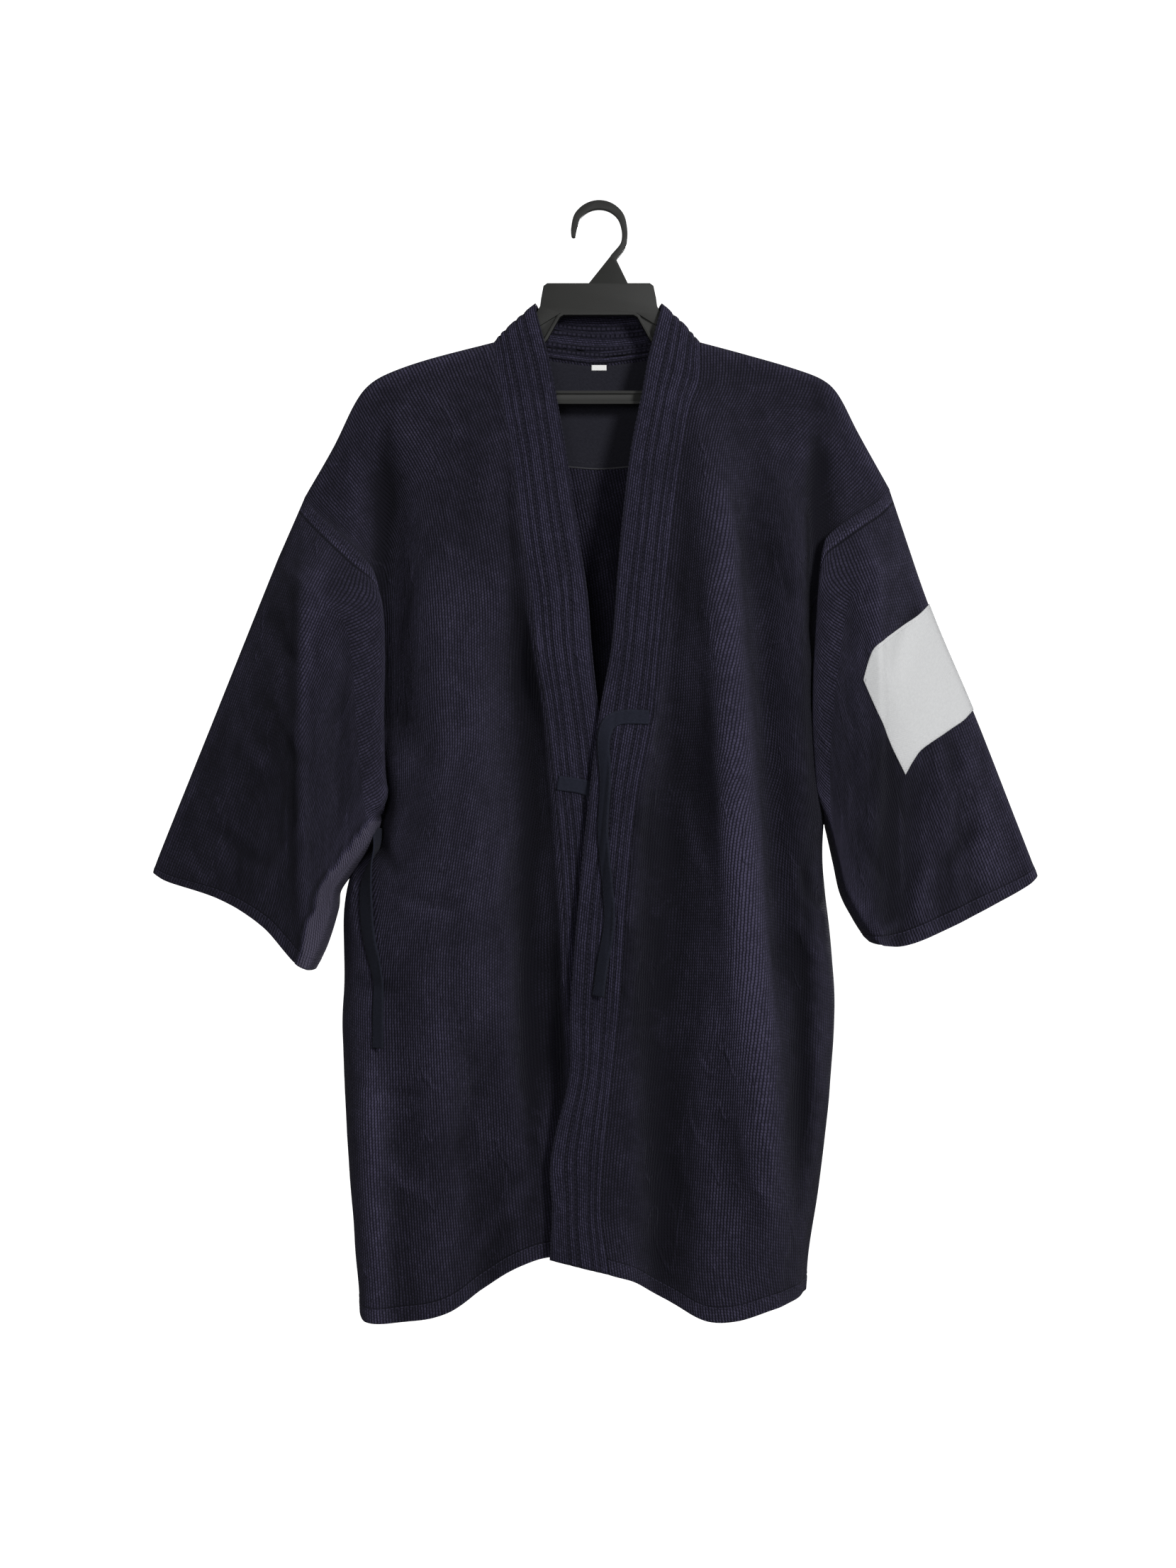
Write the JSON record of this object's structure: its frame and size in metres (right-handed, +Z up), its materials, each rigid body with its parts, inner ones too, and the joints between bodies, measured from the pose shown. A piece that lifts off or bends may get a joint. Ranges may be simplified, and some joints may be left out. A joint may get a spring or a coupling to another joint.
{
  "type": "noragi on a hanger",
  "caption": "Open-fronted sashiko cotton noragi jacket with a stitched neckband, wide half-length sleeves and cloth ties, hanging on a moulded shop hanger.",
  "frame": {"origin": "crown of the inside of the hanger's hook, where a rail or wall hook carries it", "axes": "+Z up, -Y towards the viewer of the garment's front, +X to that viewer's right, which is the wearer's left"},
  "size_m": [0.81, 0.1201, 1.0194],
  "materials": {
    "sashiko_cloth": "matte indigo sashiko cotton with a raised rice-grain weave",
    "neckband_cloth": "matte indigo cotton, layered and stitched lengthwise",
    "lining_cloth": "matte plain-woven cotton",
    "tie_tape": "smooth cotton tape",
    "bare_patch": "matte white cotton, unmarked",
    "bare_label": "satin white woven tape, unmarked",
    "hanger_plastic": "satin black moulded plastic"
  },
  "bodies": {
    "root": {"back": "sashiko_cloth", "front_right": "sashiko_cloth", "front_left": "sashiko_cloth", "sleeve_right": "sashiko_cloth", "sleeve_left": "sashiko_cloth", "collar": "neckband_cloth", "yoke_lining": "lining_cloth", "tie_front_left": "tie_tape", "tie_front_right": "tie_tape", "tie_side_right": "tie_tape", "name_patch": "bare_patch", "size_label": "bare_label", "hanger": "hanger_plastic"}
  },
  "joints": []
}
